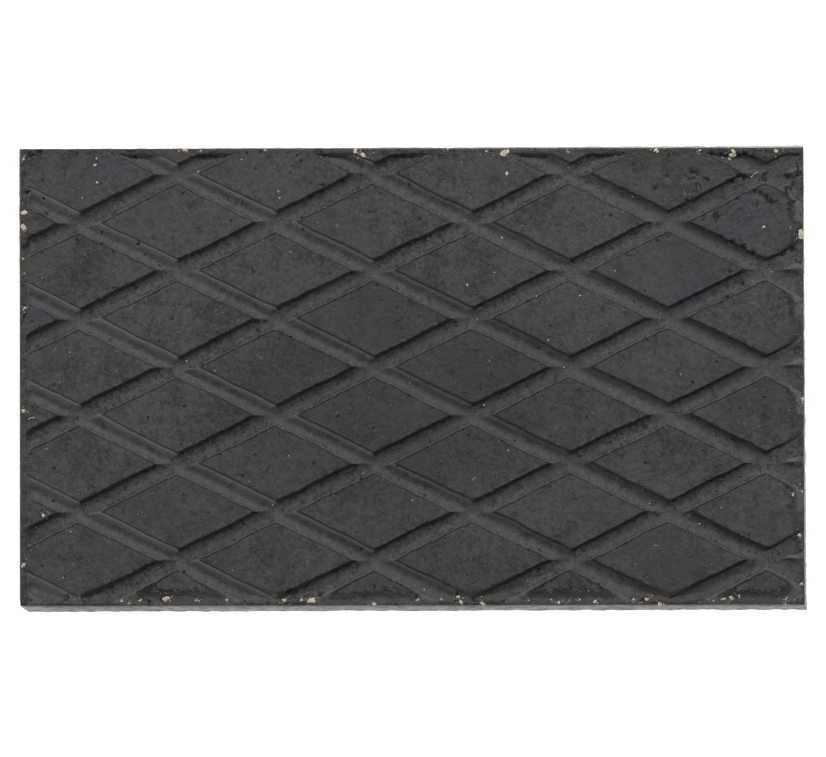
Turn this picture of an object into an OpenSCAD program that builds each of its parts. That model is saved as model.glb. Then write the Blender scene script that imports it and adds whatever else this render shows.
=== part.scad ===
// Stomp pad for a snowboard: the grip pad that the free boot stands on.
// A moulded rubber tread with raised diamond lands sits on a double-coated
// foam tape. A release liner in two halves covers the lower adhesive and is
// peeled off, from the slit outwards, before the pad is stuck to the board.
//
// +Z is up and the long side runs along X. The origin is the middle of the
// underside, on the surface that the pad lies on. All sizes are in mm.

/* [Tread] */
// Length of the tread's top face
pad_length = 152.4; // [100:0.1:240]
// Width of the tread's top face
pad_width = 88.9; // [60:0.1:140]
// Height of the rubber, from the tape to the top of the diamonds
tread_height = 5; // [3.5:0.1:9]
// How far each side wall leans out from the top face to the base
side_lean = 0.8; // [0.2:0.1:1.5]

/* [Diamond pattern] */
// Distance between two groove crossings along the length
pitch_x = 38.16; // [24:0.01:60]
// Distance between two groove crossings along the width
pitch_y = 18.8; // [12:0.1:30]
// Place of one crossing along the length, from the middle of the pad
crossing_x = -7.4; // [-12:0.1:12]
// Place of the same crossing along the width
crossing_y = 2; // [-6:0.1:6]

/* [Grooves] */
// Width of the dished groove floor
groove_floor = 2.9; // [2:0.1:3.6]
// How far a groove's side wall runs sideways
wall_run = 0.45; // [0.2:0.05:0.8]
// How far a groove's side wall drops
wall_drop = 0.75; // [0.4:0.05:1.2]
// How much the middle of the groove floor lies below its edges
floor_dish = 0.35; // [0.15:0.05:0.5]

/* [Border] */
// Width of the rim along the left end, level with the lands
rim_left = 1.2; // [0.6:0.1:4]
// Width of the rim along the back edge, level with the lands
rim_back = 1; // [0.6:0.1:4]
// Width of the ledge along the right end, a little below the lands
ledge_right = 2; // [1:0.1:5]
// Width of the ledge along the front edge, a little below the lands
ledge_front = 1.95; // [1:0.05:5]
// How much the two ledges lie below the lands
ledge_drop = 0.55; // [0.2:0.05:0.9]

/* [Foam tape] */
// Distance from the tread's base edge in to the tape's edge
tape_inset = 1; // [0.5:0.1:3]
// Corner radius of the tape
tape_corner = 1.5; // [0.5:0.1:4]
// Thickness of the foam core
foam_thick = 0.8; // [0.5:0.1:2]
// Thickness of each adhesive film
film_thick = 0.1; // [0.05:0.05:0.2]

/* [Release liner] */
// Thickness of the liner
liner_thick = 0.15; // [0.1:0.05:0.3]
// How far the liner reaches past the tape all round
liner_overlap = 0.5; // [0.2:0.1:0.8]
// Width of the slit between the liner's two halves
liner_slit = 0.2; // [0.1:0.1:1]

/* [Hidden] */
$fn = 64;

// The stack, from the surface up
z_lower = liner_thick;
z_foam = z_lower + film_thick;
z_upper = z_foam + foam_thick;
z_tread = z_upper + film_thick;
z_top = z_tread + tread_height;

// The tread's outline at its base
base_length = pad_length + 2 * side_lean;
base_width = pad_width + 2 * side_lean;

// The tape and the liner, tied to the tread's base
tape_length = base_length - 2 * tape_inset;
tape_width = base_width - 2 * tape_inset;
liner_length = tape_length + 2 * liner_overlap;
liner_width = tape_width + 2 * liner_overlap;
liner_corner = tape_corner + liner_overlap;

// The grooves
groove_depth = wall_drop + floor_dish;
z_ledge = z_top - ledge_drop;
dish_radius = (groove_floor * groove_floor / 4 + floor_dish * floor_dish) / (2 * floor_dish);
groove_slope = pitch_y / pitch_x;
groove_angle = atan(groove_slope);
groove_length = pad_length + pad_width;
// Grooves on each side of the first, enough to reach past the corners
groove_reach = ceil((pad_width / 2 + groove_slope * pad_length / 2) / pitch_y) + 1;
// Where a groove line that passes through the named crossing meets X = 0
rising_start = crossing_y - groove_slope * crossing_x;
falling_start = crossing_y + groove_slope * crossing_x;

// Edges of the land field, on the top face
field_left = -pad_length / 2;
field_right = pad_length / 2 - ledge_right;
field_front = -pad_width / 2 + ledge_front;
field_back = pad_width / 2;
// Walls that go down from the lands run out this much per mm of drop
wall_lean = wall_run / wall_drop;
// Where the field's own walls meet the ledges, out from its edges
ledge_foot = wall_lean * ledge_drop;

// Spare length by which a cutting shape passes the solid that it cuts
spare = 1;

rubber = [0.26, 0.26, 0.265];
adhesive = [0.93, 0.9, 0.8];
foam = [0.86, 0.87, 0.86];
liner = [0.93, 0.91, 0.84];

// Profile of points [x, z] carried along Y
module along_y(points, length) {
  rotate([90, 0, 0]) linear_extrude(height = length, center = true) polygon(points);
}

// Profile of points [y, z] carried along X
module along_x(points, length) {
  rotate([90, 0, 90]) linear_extrude(height = length, center = true) polygon(points);
}

// Block between two levels whose four walls lean. low and high are
// [left, right, front, back] at the lower and at the upper level.
module leaning_block(low, high, z_low, z_high) {
  span = 2 * (base_length + base_width);
  intersection() {
    along_y([[low[0], z_low], [low[1], z_low], [high[1], z_high], [high[0], z_high]], span);
    along_x([[low[2], z_low], [low[3], z_low], [high[3], z_high], [high[2], z_high]], span);
  }
}

// Plate of the tape or the liner with round corners
module plate(length, width, corner, z, thick) {
  translate([0, 0, z]) linear_extrude(height = thick) union() {
    square([length - 2 * corner, width], center = true);
    square([length, width - 2 * corner], center = true);
    for (sx = [-1, 1], sy = [-1, 1])
      translate([sx * (length / 2 - corner), sy * (width / 2 - corner)]) circle(r = corner);
  }
}

// Section of one groove: sloping walls over a dished floor, z = 0 at the lands
module groove_section() {
  half = groove_floor / 2;
  half_top = half + wall_lean * (wall_drop + spare);
  polygon([[-half, -wall_drop], [half, -wall_drop], [half_top, spare], [-half_top, spare]]);
  intersection() {
    translate([0, dish_radius - groove_depth]) circle(r = dish_radius);
    translate([-half, -groove_depth - spare]) square([groove_floor, floor_dish + spare]);
  }
}

// One straight groove that crosses X = 0 at Y = start
module groove(start, angle) {
  translate([0, start, z_top]) rotate([0, 0, angle]) rotate([90, 0, 90])
    linear_extrude(height = groove_length, center = true) groove_section();
}

// Both families of grooves
module grooves() {
  for (i = [-groove_reach : groove_reach]) {
    groove(rising_start + i * pitch_y, groove_angle);
    groove(falling_start + i * pitch_y, -groove_angle);
  }
}

// Where grooves are cut: inside the two rims and the two ledges. Its walls
// lean like the grooves' own, so that every groove ends in a sloping wall.
module groove_window() {
  low = wall_lean * (groove_depth + spare);
  high = -wall_lean * spare;
  left = field_left + rim_left;
  right = field_right + 2 * ledge_foot;
  front = field_front - 2 * ledge_foot;
  back = field_back - rim_back;
  leaning_block(
    [left + low, right - low, front + low, back - low],
    [left + high, right - high, front + high, back - high],
    z_top - groove_depth - spare, z_top + spare);
}

// Whole tread, with leaning side walls and a flat top
module tread_blank() {
  leaning_block(
    [-base_length / 2, base_length / 2, -base_width / 2, base_width / 2],
    [-pad_length / 2, pad_length / 2, -pad_width / 2, pad_width / 2],
    z_tread, z_top);
}

// Everything up to the ledge, and on it the field that stands land-high
module slab_and_field() {
  sunk = wall_lean * (z_top - z_ledge + spare);
  translate([-base_length, -base_width, z_tread - spare])
    cube([2 * base_length, 2 * base_width, z_ledge - z_tread + spare]);
  leaning_block(
    [-base_length, field_right + sunk, field_front - sunk, base_width],
    [-base_length, field_right, field_front, base_width],
    z_ledge - spare, z_top);
}

// Moulded rubber: the blank with its two ledges let in and its grooves cut
module tread() {
  color(rubber) difference() {
    intersection() {
      tread_blank();
      slab_and_field();
    }
    intersection() {
      grooves();
      groove_window();
    }
  }
}

// Film that holds the foam to the rubber
module upper_adhesive() {
  color(adhesive) plate(tape_length, tape_width, tape_corner, z_upper, film_thick);
}

// Foam that takes up the board's curve
module foam_core() {
  color(foam) plate(tape_length, tape_width, tape_corner, z_foam, foam_thick);
}

// Film that sticks to the board once the liner is off
module lower_adhesive() {
  color(adhesive) plate(tape_length, tape_width, tape_corner, z_lower, film_thick);
}

// One half of the liner, from the slit out to the right end of the pad
module liner_half() {
  color(liner) intersection() {
    plate(liner_length, liner_width, liner_corner, 0, liner_thick);
    translate([liner_slit / 2, -liner_width, -spare])
      cube([liner_length, 2 * liner_width, liner_thick + 2 * spare]);
  }
}

// Liner half under the left end
module liner_left() {
  mirror([1, 0, 0]) liner_half();
}

// Liner half under the right end
module liner_right() {
  liner_half();
}

tread();
upper_adhesive();
foam_core();
lower_adhesive();
liner_left();
liner_right();
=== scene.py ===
"""Builds the looks of a stick-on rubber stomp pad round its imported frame.

The frame brings a rubber slab with diamond lands, a double-coated foam tape under it and a release liner in
two halves. The slab is replaced here by a finely shaped moulding with worn edges, crumbs, flecks and fibres.
The tape and the liner keep their own solids and get their finishes.

Sizes in the classes are millimetres, and MM turns them into the frame's metres.
"""

from __future__ import annotations

import logging
import math
import random
from dataclasses import dataclass, field
from enum import Enum

import bmesh
import bpy
import numpy as np
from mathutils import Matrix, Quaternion, Vector, noise
from mathutils.bvhtree import BVHTree

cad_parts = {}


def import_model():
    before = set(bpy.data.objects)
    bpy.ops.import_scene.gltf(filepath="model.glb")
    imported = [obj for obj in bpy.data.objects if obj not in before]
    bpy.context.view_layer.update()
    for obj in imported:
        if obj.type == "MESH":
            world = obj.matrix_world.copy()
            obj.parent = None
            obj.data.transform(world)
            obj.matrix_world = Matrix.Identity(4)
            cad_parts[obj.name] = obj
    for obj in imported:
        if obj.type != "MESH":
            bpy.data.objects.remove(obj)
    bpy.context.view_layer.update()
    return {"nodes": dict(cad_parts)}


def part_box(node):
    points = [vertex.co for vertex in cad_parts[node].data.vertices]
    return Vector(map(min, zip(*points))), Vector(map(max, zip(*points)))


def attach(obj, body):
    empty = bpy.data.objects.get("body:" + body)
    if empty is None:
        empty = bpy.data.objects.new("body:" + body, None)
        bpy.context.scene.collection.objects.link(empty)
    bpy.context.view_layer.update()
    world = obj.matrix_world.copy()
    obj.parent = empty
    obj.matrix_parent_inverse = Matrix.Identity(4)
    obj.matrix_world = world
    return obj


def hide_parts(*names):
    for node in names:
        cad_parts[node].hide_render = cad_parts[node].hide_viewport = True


MM = 0.001
Colour = tuple[float, float, float]

log = logging.getLogger("stomp_pad")


# ----------------------------------------------------------------------------------------------------------
# Node graphs


class Value:
    """One output of a node. Python's operators on it add Math nodes."""

    def __init__(self, graph: Graph, socket: bpy.types.NodeSocket) -> None:
        """Keep the graph that new nodes go into, and the socket."""
        self.graph = graph
        self.socket = socket

    def __add__(self, other: Value | float) -> Value:
        """Sum."""
        return self.graph.math("ADD", self, other)

    def __sub__(self, other: Value | float) -> Value:
        """Difference."""
        return self.graph.math("SUBTRACT", self, other)

    def __rsub__(self, other: float) -> Value:
        """Difference from a number."""
        return self.graph.math("SUBTRACT", other, self)

    def __mul__(self, other: Value | float) -> Value:
        """Product."""
        return self.graph.math("MULTIPLY", self, other)

    def __truediv__(self, other: Value | float) -> Value:
        """Quotient."""
        return self.graph.math("DIVIDE", self, other)

    def __neg__(self) -> Value:
        """Opposite."""
        return self.graph.math("MULTIPLY", self, -1.0)

    def __abs__(self) -> Value:
        """Size without its sign."""
        return self.graph.math("ABSOLUTE", self)

    __radd__ = __add__
    __rmul__ = __mul__


class Graph:
    """A node tree, with one way to add a node and short ways to add the commonest ones."""

    def __init__(self, tree: bpy.types.NodeTree) -> None:
        """Work in this node tree."""
        self.tree = tree

    def node(self, kind: str, settings: dict | None = None, sockets: dict | None = None) -> bpy.types.Node:
        """Add one node.

        Args:
            kind: The node's type name.
            settings: Its settings, such as an operation, or a ramp's "stops" as (place, colour) pairs.
            sockets: What its inputs get, by identifier, name or number: a Value to link, or a constant.

        Returns:
            The new node.
        """
        made = self.tree.nodes.new(kind)
        for name, setting in (settings or {}).items():
            if name == "stops":
                self._set_stops(made.color_ramp, setting)
            else:
                setattr(made, name, setting)
        for key, given in (sockets or {}).items():
            socket = self._find(made.inputs, key)
            if isinstance(given, Value):
                self.tree.links.new(given.socket, socket)
            else:
                socket.default_value = given
        return made

    @staticmethod
    def _set_stops(ramp: bpy.types.ColorRamp, stops: list[tuple[float, Colour]]) -> None:
        """Give a colour ramp its stops.

        Args:
            ramp: The ramp, with the two stops that it is made with.
            stops: Two or more (place, colour) pairs in rising order.
        """
        while len(ramp.elements) < len(stops):
            ramp.elements.new(0.5)
        for element, (place, colour) in zip(ramp.elements, stops):
            element.position = place
            element.color = (*colour, 1.0)

    @staticmethod
    def _find(sockets: bpy.types.bpy_prop_collection, key: str | int) -> bpy.types.NodeSocket:
        """Find a socket by its number, its identifier or, failing those, its name."""
        if isinstance(key, int):
            return sockets[key]
        return next((s for s in sockets if s.identifier == key), None) or sockets[key]

    def out(self, node: bpy.types.Node, key: str | int = 0) -> Value:
        """One output of a node, as a Value."""
        return Value(self, self._find(node.outputs, key))

    def link(self, value: Value, node: bpy.types.Node, key: str | int) -> None:
        """Link a value to one input of a node that exists."""
        self.tree.links.new(value.socket, self._find(node.inputs, key))

    def math(self, operation: str, *terms: Value | float, clamp: bool = False) -> Value:
        """Add a Math node on up to three terms."""
        settings = {"operation": operation, "use_clamp": clamp}
        return self.out(self.node("ShaderNodeMath", settings, dict(enumerate(terms))))

    def lesser(self, a: Value | float, b: Value | float, blend: float) -> Value:
        """The smaller of two, rounded off where they are closer than blend."""
        return self.math("SMOOTH_MIN", a, b, blend)

    def greater(self, a: Value | float, b: Value | float, blend: float) -> Value:
        """The larger of two, rounded off where they are closer than blend."""
        return self.math("SMOOTH_MAX", a, b, blend)

    def step(self, value: Value, start: float, end: float) -> Value:
        """A smooth step from 0 at start to 1 at end."""
        sockets = {"Value": value, "From Min": start, "From Max": end}
        return self.out(self.node("ShaderNodeMapRange", {"interpolation_type": "SMOOTHSTEP"}, sockets))

    def scaled(self, vector: Value, factor: float) -> Value:
        """A vector times a number."""
        sockets = {0: vector, "Scale": factor}
        return self.out(self.node("ShaderNodeVectorMath", {"operation": "SCALE"}, sockets))

    def turned(self, vector: Value, angle: float, scale: tuple[float, float, float]) -> Value:
        """A vector turned about Z by an angle in degrees and then stretched."""
        turn = self.node(
            "ShaderNodeMapping",
            {"vector_type": "POINT"},
            {"Vector": vector, "Rotation": (0.0, 0.0, math.radians(angle)), "Scale": (1.0, 1.0, 1.0)},
        )
        sockets = {0: self.out(turn), 1: scale}
        return self.out(self.node("ShaderNodeVectorMath", {"operation": "MULTIPLY"}, sockets))

    def noise(self, place: Value, size: float, seed: float, detail: float = 2.0) -> Value:
        """Cloudy noise about 0, mostly between -0.5 and 0.5.

        Args:
            place: The point, in the same unit as size.
            size: How far apart its lumps are.
            seed: Which of the many patterns.
            detail: How many finer layers it has.

        Returns:
            The noise.
        """
        texture = self.node(
            "ShaderNodeTexNoise",
            {"noise_dimensions": "4D"},
            {"Vector": place, "W": seed, "Scale": 1.0 / size, "Detail": detail, "Roughness": 0.55},
        )
        return (self.out(texture, 0) - 0.5) * 2.0

    def spots(self, place: Value, spacing: float, radius: float, share: float) -> Value:
        """Round spots of mixed sizes, seen from above, 1 in the middle and 0 outside.

        Args:
            place: The point, in the same unit as spacing and radius.
            spacing: How far apart the cells are that may each hold one spot.
            radius: The radius of the largest spots.
            share: The share of the cells that holds one.

        Returns:
            The spots' mask.
        """
        sockets = {"Vector": place, "Scale": 1.0 / spacing}
        cell = self.node("ShaderNodeTexVoronoi", {"voronoi_dimensions": "2D"}, sockets)
        parts = self.node("ShaderNodeSeparateColor", {}, {0: self.out(cell, "Color")})
        kept = self.math("LESS_THAN", self.out(parts, 0), share)
        reach = (0.35 + self.out(parts, 1) * 0.65) * (radius / spacing)
        inside = 1.0 - self.out(cell, "Distance") / reach
        return self.math("MULTIPLY", inside, kept, clamp=True)

    def mixed(self, factor: Value | float, first: Value | Colour, second: Value | Colour) -> Value:
        """A colour between two others."""
        ends = [c if isinstance(c, Value) else (*c, 1.0) for c in (first, second)]
        sockets = {"Factor_Float": factor, "A_Color": ends[0], "B_Color": ends[1]}
        return self.out(self.node("ShaderNodeMix", {"data_type": "RGBA"}, sockets), "Result_Color")


# ----------------------------------------------------------------------------------------------------------
# Finishes


@dataclass(frozen=True)
class Finish:
    """A material with a Principled surface, which each kind of finish fills in."""

    name: str

    def material(self) -> bpy.types.Material:
        """Make the material.

        Returns:
            A new material with its nodes in place.
        """
        made = bpy.data.materials.new(self.name)
        made.use_nodes = True
        made.node_tree.nodes.clear()
        graph = Graph(made.node_tree)
        surface = graph.node("ShaderNodeBsdfPrincipled")
        graph.node("ShaderNodeOutputMaterial", {}, {"Surface": graph.out(surface)})
        coordinates = graph.node("ShaderNodeTexCoord")
        place = graph.scaled(graph.out(coordinates, "Object"), 1.0 / MM)
        self.fill(graph, surface, place)
        return made

    def fill(self, graph: Graph, surface: bpy.types.Node, place: Value) -> None:
        """Fill in the surface.

        Args:
            graph: The material's graph.
            surface: Its Principled node.
            place: The point on the object, in millimetres.
        """
        raise NotImplementedError

    @staticmethod
    def raise_by(graph: Graph, surface: bpy.types.Node, height: Value, strength: float = 1.0) -> None:
        """Let a height in millimetres tilt the surface's normal."""
        sockets = {"Height": height, "Distance": MM, "Strength": strength}
        graph.link(graph.out(graph.node("ShaderNodeBump", {}, sockets)), surface, "Normal")


@dataclass(frozen=True)
class MouldedRubber(Finish):
    """Charcoal recycled rubber: mottled, pitted and scuffed on top, with painted shade and painted highlights
    along its grooves; pale on its side walls, partly dusted and partly a painted reflection of the pale
    floor.
    """

    name: str = "moulded_rubber"
    painted_shade_black: Colour = (0.005, 0.005, 0.005)
    dark: Colour = (0.0138, 0.0138, 0.0158)
    light: Colour = (0.0515, 0.0515, 0.0560)
    olive: Colour = (0.036, 0.033, 0.022)
    slate: Colour = (0.027, 0.028, 0.036)
    scuffed: Colour = (0.085, 0.085, 0.085)
    dust_and_highlight: Colour = (0.080, 0.080, 0.081)
    speck: Colour = (0.26, 0.24, 0.18)
    stained: Colour = (0.030, 0.022, 0.012)
    wall_dark: Colour = (0.085, 0.085, 0.085)
    wall_pale_and_reflected: Colour = (0.32, 0.32, 0.31)
    specular: float = 0.30

    def fill(self, graph: Graph, surface: bpy.types.Node, place: Value) -> None:
        """Fill in the rubber's surface.

        Args:
            graph: The material's graph.
            surface: Its Principled node.
            place: The point on the object, in millimetres.
        """
        blotch = graph.noise(place, 11.0, 1.0, 3.0)
        cloud = graph.noise(place, 3.0, 2.0, 3.0)
        grain = graph.noise(place, 0.9, 3.0, 3.0)
        fine = graph.noise(place, 0.3, 4.0, 2.0)
        low = self._stored(graph, "floor")
        tone = 0.60 + blotch * 0.75 + cloud * 0.8 + (grain + fine) * (1.0 + low * 1.8)
        colour = graph.mixed(graph.math("ADD", tone, 0.0, clamp=True), self.dark, self.light)
        colour = graph.mixed(graph.step(graph.noise(place, 15.0, 5.0), 0.0, 0.5) * 0.55, colour, self.olive)
        colour = graph.mixed(graph.step(graph.noise(place, 18.0, 6.0), 0.0, 0.5) * 0.55, colour, self.slate)
        colour = graph.mixed(graph.step(cloud + blotch, 0.2, 0.75) * 0.6, colour, self.dark)
        # Darker towards the middle of the pad.
        colour = graph.mixed(self._darker_middle(graph, place) * 0.34, colour, self.dark)

        # Groove floors painted darker: painted shade in the recesses.
        colour = graph.mixed(low * 0.14, colour, self.dark)
        # Paler in the groove floors and on the falling grooves' upper walls towards the left: partly dusted,
        # partly painted light.
        dust_and_light = self._stored(graph, "dust_and_light") * (0.8 + cloud * 0.8)
        colour = graph.mixed(graph.math("ADD", dust_and_light * 0.55, 0.0, clamp=True), colour, self.dust_and_highlight)
        stain = self._stored(graph, "stain") * graph.step(graph.noise(place, 1.4, 8.0, 3.0), -0.35, 0.25)
        colour = graph.mixed(stain * 0.8, colour, self.stained)
        scuff = self._scuffs(graph, place)
        colour = graph.mixed(scuff * 0.4, colour, self.scuffed)

        wall = self._stored(graph, "wall")
        depth = self._stored(graph, "depth") + grain * 0.45 + fine * 0.4
        # A thin pale line along the groove walls: a painted highlight.
        gleam = (1.0 - graph.step(abs(depth + 0.6), 0.15, 0.5)) * self._stored(graph, "gleam")
        colour = graph.mixed(graph.math("MINIMUM", gleam, 1.0), colour, self.dust_and_highlight)
        # Painted shade along the groove walls and at the lands' edges.
        wall_shade = self._painted_wall_shade(graph, depth, graph.step(grain + fine * 0.7, -0.5, 0.2))
        crack = self._cracks(graph, place)
        tear = self._stored(graph, "tear")
        torn = tear + graph.noise(place, 0.55, 9.0, 4.0) * graph.step(tear, 0.0, 0.2) * 1.25
        torn = graph.step(torn, 0.58, 0.70)
        # Cracks, tears and the painted wall shade are painted darkest: painted shade in the recesses.
        hollow_shade = graph.math("MAXIMUM", graph.math("MAXIMUM", crack, torn) * (1.0 - wall), wall_shade)
        colour = graph.mixed(hollow_shade, colour, self.painted_shade_black)
        speck = graph.step(graph.spots(graph.scaled(place, 1.07), 1.5, 0.13, 0.13), 0.0, 0.35)
        colour = graph.mixed(speck * 0.55, colour, self.speck)

        # Side walls pale, paler towards the foot: partly dusted, partly a painted reflection of the pale
        # floor.
        along = graph.noise(graph.turned(place, 0.0, (0.6, 0.6, 1.0)), 1.1, 7.0, 6.0)
        pale_share = graph.math("ADD", 0.30 + wall * 0.34, along * 1.7 + fine * 0.3, clamp=True)
        side = graph.mixed(pale_share, self.wall_dark, self.wall_pale_and_reflected)
        colour = graph.mixed(graph.step(wall, 0.2, 0.7), colour, side)
        graph.link(colour, surface, "Base Color")

        rough = graph.math("ADD", 0.62 + cloud * 0.12 + grain * 0.12, wall * -0.15, clamp=True)
        graph.link(rough, surface, "Roughness")
        surface.inputs["Specular IOR Level"].default_value = self.specular
        wear = self._stored(graph, "wear")
        height = cloud * 0.06 + grain * (0.06 + wear * 0.08) + fine * 0.03 - crack * 0.15 - scuff * 0.012
        height = height + wall_shade * (grain + fine) * 0.2 - torn * 0.12
        self.raise_by(graph, surface, height)

    @staticmethod
    def _painted_wall_shade(graph: Graph, depth: Value, shade_breakup: Value) -> Value:
        """Painted shade along the grooves' steep walls, darkest in a thin ragged line at the lands' edges,
        with a thin painted dark line at the lip of the lit walls.

        Args:
            graph: The material's graph.
            depth: Height above the lands' edges as a share of a wall's drop, made ragged.
            shade_breakup: Where the painted shade below the line is kept, broken up by the grain, from 0 to
                1.

        Returns:
            The painted shade, from 0 to 1.
        """
        band = graph.step(depth, -1.7, -0.4) * (1.0 - graph.step(depth, -0.1, 0.15))
        line = 1.0 - graph.step(abs(depth + 0.2), 0.1, 0.42)
        lip = 1.0 - graph.step(abs(depth - 0.12), 0.1, 0.4)
        dark = band * shade_breakup * MouldedRubber._stored(graph, "shade") * 1.3
        dark = line * MouldedRubber._stored(graph, "line") + dark
        return graph.math("MINIMUM", dark + lip * MouldedRubber._stored(graph, "lip"), 1.0)

    @staticmethod
    def _darker_middle(graph: Graph, place: Value) -> Value:
        """How much the middle of the pad is darkened, from 0 to 1."""
        parts = graph.node("ShaderNodeSeparateXYZ", {}, {0: place})
        x, y = graph.out(parts, "X") / 52.0, (graph.out(parts, "Y") + 4.0) / 30.0
        return 1.0 - graph.step(graph.math("SQRT", x * x + y * y), 0.3, 1.0)

    @staticmethod
    def _stored(graph: Graph, name: str) -> Value:
        """A number that the mesh keeps at every point."""
        return graph.out(graph.node("ShaderNodeAttribute", {"attribute_name": name}), "Fac")

    @staticmethod
    def _cracks(graph: Graph, place: Value) -> Value:
        """Short crooked cracks and small ragged pits, thickest where the surface is damaged.

        Args:
            graph: The material's graph.
            place: The point on the object, in millimetres.

        Returns:
            Their mask, from 0 to 1.
        """
        sockets = {"Vector": place, "Scale": 1.5, "Detail": 5.0, "Roughness": 0.6}
        bend = graph.node("ShaderNodeTexNoise", {"noise_dimensions": "3D"}, sockets)
        sockets = {0: graph.out(bend, "Color"), 1: (1.5, 1.5, 0.0), 2: place}
        path = graph.out(graph.node("ShaderNodeVectorMath", {"operation": "MULTIPLY_ADD"}, sockets))
        wear = MouldedRubber._stored(graph, "wear")
        line = 1.0 - graph.step(abs(graph.noise(path, 3.6, 81.0, 1.0)), 0.0, 0.06)
        patch = graph.step(graph.noise(place, 2.6, 82.0, 1.0) + wear * 0.12, 0.30, 0.38)
        pit = graph.step(graph.spots(path, 2.3, 0.34, 0.10), 0.1, 0.4)
        marks = line * patch * (0.5 + wear) + pit * (1.0 + wear)
        return graph.math("MINIMUM", marks, 1.0)

    @staticmethod
    def _scuffs(graph: Graph, place: Value) -> Value:
        """Fine scratches that run several ways, in patches.

        Args:
            graph: The material's graph.
            place: The point on the object, in millimetres.

        Returns:
            The scratches' mask, from 0 to 1.
        """
        marks: Value | float = 0.0
        for seed, angle in ((11.0, 24.0), (12.0, -31.0), (13.0, 76.0), (14.0, -8.0)):
            streak = graph.noise(graph.turned(place, angle, (0.12, 3.2, 1.0)), 1.0, seed, 1.0)
            patch = graph.step(graph.noise(place, 5.0, seed + 9.0), 0.08, 0.45)
            marks = graph.step(streak, 0.24, 0.6) * patch + marks
        return graph.math("MINIMUM", marks, 1.0)


@dataclass(frozen=True)
class FibreCrumb(Finish):
    """Torn textile and paper bits in the rubber, from near white to straw and rust."""

    name: str = "fibre_crumb"

    def fill(self, graph: Graph, surface: bpy.types.Node, place: Value) -> None:
        """Fill in the crumbs' surface.

        Args:
            graph: The material's graph.
            surface: Its Principled node.
            place: The point on the object, in millimetres.
        """
        tint = graph.out(graph.node("ShaderNodeAttribute", {"attribute_name": "tint"}), "Fac")
        stops = [
            (0.0, (0.22, 0.20, 0.16)),
            (0.3, (0.46, 0.41, 0.31)),
            (0.55, (0.60, 0.56, 0.46)),
            (0.75, (0.40, 0.33, 0.20)),
            (0.9, (0.48, 0.36, 0.32)),
            (1.0, (0.22, 0.12, 0.06)),
        ]
        base = graph.out(graph.node("ShaderNodeValToRGB", {"stops": stops}, {"Fac": tint}))
        grain = graph.noise(place, 0.12, 21.0, 3.0)
        shade = graph.step(grain, -0.5, 0.1)
        graph.link(graph.mixed((1.0 - shade) * 0.7, base, (0.09, 0.07, 0.05)), surface, "Base Color")
        surface.inputs["Roughness"].default_value = 0.9
        self.raise_by(graph, surface, grain * 0.06)


@dataclass(frozen=True)
class ClosedCellFoam(Finish):
    """White polyethylene foam whose cut edge shows small closed cells."""

    name: str = "closed_cell_foam"

    def fill(self, graph: Graph, surface: bpy.types.Node, place: Value) -> None:
        """Fill in the foam's surface.

        Args:
            graph: The material's graph.
            surface: Its Principled node.
            place: The point on the object, in millimetres.
        """
        cells = graph.node("ShaderNodeTexVoronoi", {"feature": "F1"}, {"Vector": place, "Scale": 1.0 / 0.22})
        # The cells' hollows are painted darker grey: painted shade in the pores.
        hollow_shade = graph.step(graph.out(cells, "Distance"), 0.55, 0.1)
        cloud = graph.noise(place, 3.0, 31.0)
        white = graph.mixed(0.5 + cloud * 0.6, (0.60, 0.61, 0.59), (0.78, 0.79, 0.77))
        graph.link(graph.mixed(hollow_shade * 0.45, white, (0.36, 0.36, 0.35)), surface, "Base Color")
        surface.inputs["Roughness"].default_value = 0.8
        self.raise_by(graph, surface, hollow_shade * -0.05)


@dataclass(frozen=True)
class AdhesiveFilm(Finish):
    """Straw-coloured acrylic adhesive, shiny and slightly rippled."""

    name: str = "adhesive_film"

    def fill(self, graph: Graph, surface: bpy.types.Node, place: Value) -> None:
        """Fill in the film's surface.

        Args:
            graph: The material's graph.
            surface: Its Principled node.
            place: The point on the object, in millimetres.
        """
        cloud = graph.noise(place, 5.0, 41.0, 3.0)
        colour = graph.mixed(0.5 + cloud * 0.7, (0.62, 0.54, 0.36), (0.74, 0.68, 0.52))
        graph.link(colour, surface, "Base Color")
        graph.link(0.24 + graph.noise(place, 1.4, 42.0) * 0.12, surface, "Roughness")
        ripple = graph.noise(graph.turned(place, 0.0, (0.25, 1.0, 1.0)), 1.6, 43.0)
        self.raise_by(graph, surface, ripple * 0.02)


@dataclass(frozen=True)
class LinerPaper(Finish):
    """Plain ivory paper with a thin silicone coat, its pulp faintly clouded."""

    name: str = "liner_paper"

    def fill(self, graph: Graph, surface: bpy.types.Node, place: Value) -> None:
        """Fill in the paper's surface.

        Args:
            graph: The material's graph.
            surface: Its Principled node.
            place: The point on the object, in millimetres.
        """
        cloud = graph.noise(place, 2.6, 51.0, 4.0)
        strands = graph.noise(graph.turned(place, 14.0, (0.35, 2.6, 1.0)), 1.0, 52.0, 3.0)
        pulp = graph.math("ADD", 0.5 + cloud * 0.5, strands * 0.45, clamp=True)
        graph.link(graph.mixed(pulp, (0.66, 0.60, 0.45), (0.80, 0.76, 0.64)), surface, "Base Color")
        graph.link(0.42 + strands * 0.12, surface, "Roughness")
        surface.inputs["Coat Weight"].default_value = 0.25
        surface.inputs["Coat Roughness"].default_value = 0.3
        self.raise_by(graph, surface, strands * 0.006 + cloud * 0.008)


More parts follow.
